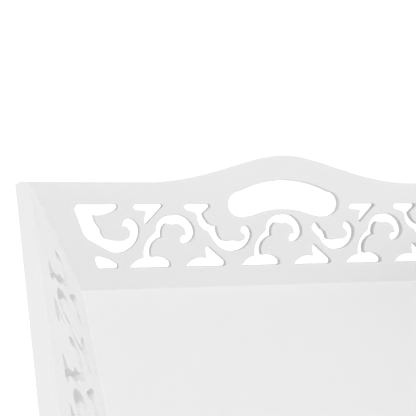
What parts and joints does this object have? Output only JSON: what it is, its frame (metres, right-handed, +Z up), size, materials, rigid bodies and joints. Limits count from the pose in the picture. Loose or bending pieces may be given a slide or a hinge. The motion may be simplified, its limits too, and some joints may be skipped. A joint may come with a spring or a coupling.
{
  "type": "tray top side table",
  "caption": "Side table with a lift-off rectangular tray top; flared walls pierced by a running scroll, arched ends with hand holes, square tapered legs.",
  "frame": {"origin": "on the ground under the middle of the table", "axes": "+Z up, X along the two short ends with the hand holes, Y along the two long sides, +Y towards the end seen in the picture"},
  "size_m": [0.4232, 0.566, 0.6218],
  "materials": {
    "white_lacquer": "satin white lacquer on sanded board",
    "bare_wood": "planed softwood, not painted",
    "zinc_steel": "bright zinc plate",
    "felt": "pressed felt"
  },
  "bodies": {
    "stand": {"apron_front": "white_lacquer", "apron_right": "white_lacquer", "apron_back": "white_lacquer", "apron_left": "white_lacquer", "leg_front_left": "white_lacquer", "leg_front_right": "white_lacquer", "leg_back_right": "white_lacquer", "leg_back_left": "white_lacquer", "corner_block_front_left": "bare_wood", "corner_block_front_right": "bare_wood", "corner_block_back_right": "bare_wood", "corner_block_back_left": "bare_wood", "hanger_bolts": "zinc_steel", "hex_nuts": "zinc_steel", "foot_pads": "felt"},
    "tray": {"tray_floor": "white_lacquer", "tray_end_front": "white_lacquer", "tray_end_back": "white_lacquer", "tray_side_left": "white_lacquer", "tray_side_right": "white_lacquer", "batten_front": "white_lacquer", "batten_right": "white_lacquer", "batten_back": "white_lacquer", "batten_left": "white_lacquer"}
  },
  "joints": [
    {"name": "tray_lift", "type": "slide", "parent": "stand", "child": "tray", "axis": [0, 0, 1], "range_m": [0, 0.12]}
  ]
}
